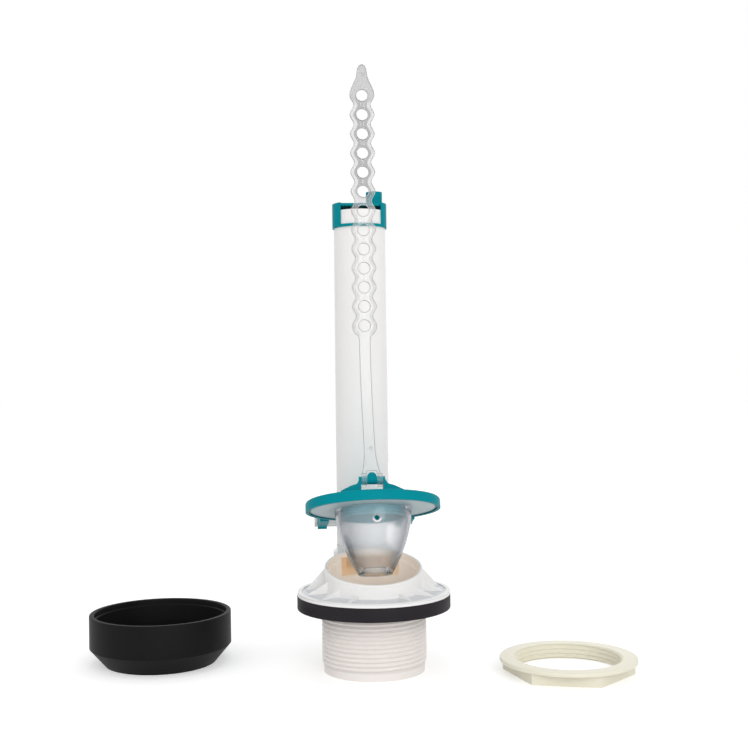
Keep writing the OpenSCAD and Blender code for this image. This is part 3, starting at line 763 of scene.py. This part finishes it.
def strap_tints(material):
    tree = material.node_tree

    def math_node(operation, first, second=0.0):
        node = tree.nodes.new("ShaderNodeMath")
        node.operation = operation
        for socket, value in zip(node.inputs, (first, second)):
            if isinstance(value, float):
                socket.default_value = value
            else:
                tree.links.new(value, socket)
        return node.outputs[0]

    def ramp(value, low, high):
        node = tree.nodes.new("ShaderNodeMapRange")
        node.inputs["From Min"].default_value = low
        node.inputs["From Max"].default_value = high
        tree.links.new(value, node.inputs["Value"])
        return node.outputs["Result"]

    place = tree.nodes.new("ShaderNodeTexCoord")
    split = tree.nodes.new("ShaderNodeSeparateXYZ")
    tree.links.new(place.outputs["Object"], split.inputs[0])
    height = split.outputs["Z"]
    off_middle = math_node("ABSOLUTE", math_node("SUBTRACT", split.outputs["X"], STRAP_X))
    phase = math_node("MULTIPLY", math_node("SUBTRACT", height, LAST_HOLE_Z), 2 * math.pi / HOLE_PITCH)
    wave = math_node("MULTIPLY", math_node("COSINE", phase), (BEAD_HALF - NECK_HALF) / 2)
    inward = math_node("SUBTRACT", math_node("ADD", wave, (BEAD_HALF + NECK_HALF) / 2), off_middle)
    edge = ramp(inward, EDGE_W + EDGE_BLUR, EDGE_W - EDGE_BLUR)
    edge = math_node("MULTIPLY", edge, ramp(height, FIRST_HOLE_Z - BEAD_HALF, FIRST_HOLE_Z - NECK_HALF))
    before_tip = math_node("MULTIPLY", edge, ramp(height, LAST_HOLE_Z, TIP_START_Z))
    tip = math_node("MULTIPLY", ramp(height, TIP_START_Z, LAST_HOLE_Z), TIP_PALE)
    pale = math_node("MAXIMUM", before_tip, tip)
    lower, upper = (mixed(tree, pale, web, rim) for web, rim in zip(WEB_TINTS, EDGE_TINTS))
    color = mixed(tree, ramp(height, GREYER_LOW, GREYER_HIGH), lower, upper)
    surface = tree.nodes["Principled BSDF"]
    tree.links.new(color, surface.inputs["Base Color"])
    cover = ramp(height, CLEAR_LOW, CLEAR_HIGH)
    cover.node.inputs["To Min"].default_value = RING_COVER
    straight = surface.inputs["Alpha"].links[0].from_socket
    tree.links.new(math_node("MULTIPLY", straight, cover), surface.inputs["Alpha"])


strap_tints(FINISH["strap_clear"])
print("strap tints set")

# %% Strap
lines = merged_copy("lift_strap", "strap_lines")
dress(merged_copy("lift_strap", "strap_moulding"), "strap", "strap_clear", "lift_strap")

# %% [markdown]
# A clear strip is seen mainly by its edges, where light leaves it sideways and a grey line stays. The lines
# are made from the strap itself: the outer edges of its two faces and of its holes are the convex ones at
# the web's thickness. They are kept in the second copy, by their place, the rest is deleted, and the edges
# become curves with a small round section and then a mesh.

# %% Lines along the strap's edges
LINE_R = 0.18 * MM
ON_FACE_WITHIN = 0.02 * MM
SHARP_ABOVE = math.radians(50)

pick(lines)
bpy.ops.object.mode_set(mode="EDIT")
bpy.ops.mesh.select_mode(type="EDGE")
bpy.ops.mesh.select_all(action="DESELECT")
shape = bmesh.from_edit_mesh(lines.data)
for edge in shape.edges:
    depths = [abs(corner.co.y - STRAP_MIDDLE) for corner in edge.verts]
    on_face = all(abs(depth - WEB_HALF) < ON_FACE_WITHIN for depth in depths)
    sharp = edge.is_convex and edge.calc_face_angle(0.0) > SHARP_ABOVE
    edge.select_set(not (on_face and sharp))
bpy.ops.mesh.delete(type="EDGE")
bpy.ops.object.mode_set(mode="OBJECT")
bpy.ops.object.convert(target="CURVE")
lines.data.bevel_depth = LINE_R
lines.data.bevel_resolution = 1
bpy.ops.object.convert(target="MESH")
lines = bpy.context.object
print("lines along the edges:", len(lines.data.polygons), "faces")

# %% [markdown]
# Two small rings on the front are the marks of the mould's ejector pins. A thin torus, turned to face the
# front and sunk to its middle, gives each of them. They are as fine as the lines and look the same, so
# they are joined to them.

# %% Mould marks
FACING_FRONT = (math.radians(90), 0, 0)
MARKS = (-0.4 * MM, 120.8 * MM), (-2.2 * MM, 326.6 * MM)
MARK_R = 0.75 * MM

marks = []
for across, height in MARKS:
    bpy.ops.object.select_all(action="DESELECT")
    bpy.ops.mesh.primitive_torus_add(location=(across, STRAP_FRONT, height), rotation=FACING_FRONT,
                                     major_radius=MARK_R, minor_radius=LINE_R,
                                     major_segments=24, minor_segments=6)
    bpy.ops.object.transform_apply(location=True, rotation=True, scale=True)
    marks.append(bpy.context.object)
pick(lines)
for mark in marks:
    mark.select_set(True)
bpy.ops.object.join()
dress(lines, "strap", "strap_clear", finish=LINE_FINISH)

# %% [markdown]
# Plain numbers stand between the holes, so that a setting can be found again. Strokes could be modelled one
# by one, but a text object has clean outlines at once. Each is turned to face the front, given a small
# relief, made into a mesh and joined with the others.

# %% Numbers between the holes
NUMBER_SIZE = 3.2 * MM
NUMBER_RELIEF = 0.15 * MM


def strap_number(number):
    """A raised number halfway between two holes."""
    height = LAST_HOLE_Z - (HOLE_COUNT - number - 0.5) * HOLE_PITCH
    bpy.ops.object.select_all(action="DESELECT")
    bpy.ops.object.text_add(location=(STRAP_X, STRAP_FRONT, height), rotation=FACING_FRONT)
    words = bpy.context.object
    words.data.body = str(number)
    words.data.size = NUMBER_SIZE
    words.data.extrude = NUMBER_RELIEF
    words.data.align_x = "CENTER"
    words.data.align_y = "CENTER"
    bpy.ops.object.convert(target="MESH")
    bpy.ops.object.transform_apply(location=True, rotation=True, scale=True)
    return bpy.context.object


digits = [strap_number(number) for number in range(1, HOLE_COUNT)]
pick(digits[0])
for digit in digits:
    digit.select_set(True)
bpy.ops.object.join()
numbers = bpy.context.object
numbers.name = "strap_numbers"
dress(numbers, "strap", "strap_clear", finish=NUMBER_FINISH)

# %% [markdown]
# ## Locknut and tank gasket
# The nut lies with its flange up. Its thread is the same wedge, wound inside the bore and trimmed flat at
# both faces of the nut by two bisect cuts that keep the middle and fill the cut. The tank gasket is a soft
# rubber cup, and its solid has the rounded rim already.

# %% Locknut with its thread
NUT_LOW, NUT_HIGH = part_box("locknut")
NUT_AXIS = ((NUT_LOW.x + NUT_HIGH.x) / 2, (NUT_LOW.y + NUT_HIGH.y) / 2)
NUT_BORE_R = 28.9 * MM
RIDGE_H = 0.9 * MM
RIDGE_W = 1.9 * MM
RIDGE_START = -2.0 * MM
RIDGE_TURNS = 5
FACE_MARGIN = 0.3 * MM

dress(merged_copy("locknut", "nut_moulding"), "nut", "nut_ivory", "locknut")

ridge = helical_wedge("nut_thread", NUT_AXIS, NUT_BORE_R - RIDGE_H, NUT_BORE_R + WEDGE_BACK,
                      RIDGE_W, RIDGE_START, RIDGE_TURNS)
pick(ridge)
for height, above in ((NUT_LOW.z + FACE_MARGIN, False), (NUT_HIGH.z - FACE_MARGIN, True)):
    bpy.ops.object.mode_set(mode="EDIT")
    bpy.ops.mesh.select_all(action="SELECT")
    bpy.ops.mesh.bisect(plane_co=(*NUT_AXIS, height), plane_no=(0, 0, 1), use_fill=True,
                        clear_inner=not above, clear_outer=above)
    bpy.ops.object.mode_set(mode="OBJECT")
dress(ridge, "nut", "nut_ivory")

# %% Tank gasket
dress(merged_copy("tank_gasket", "cup_ring"), "cup", "cup_black", "tank_gasket")
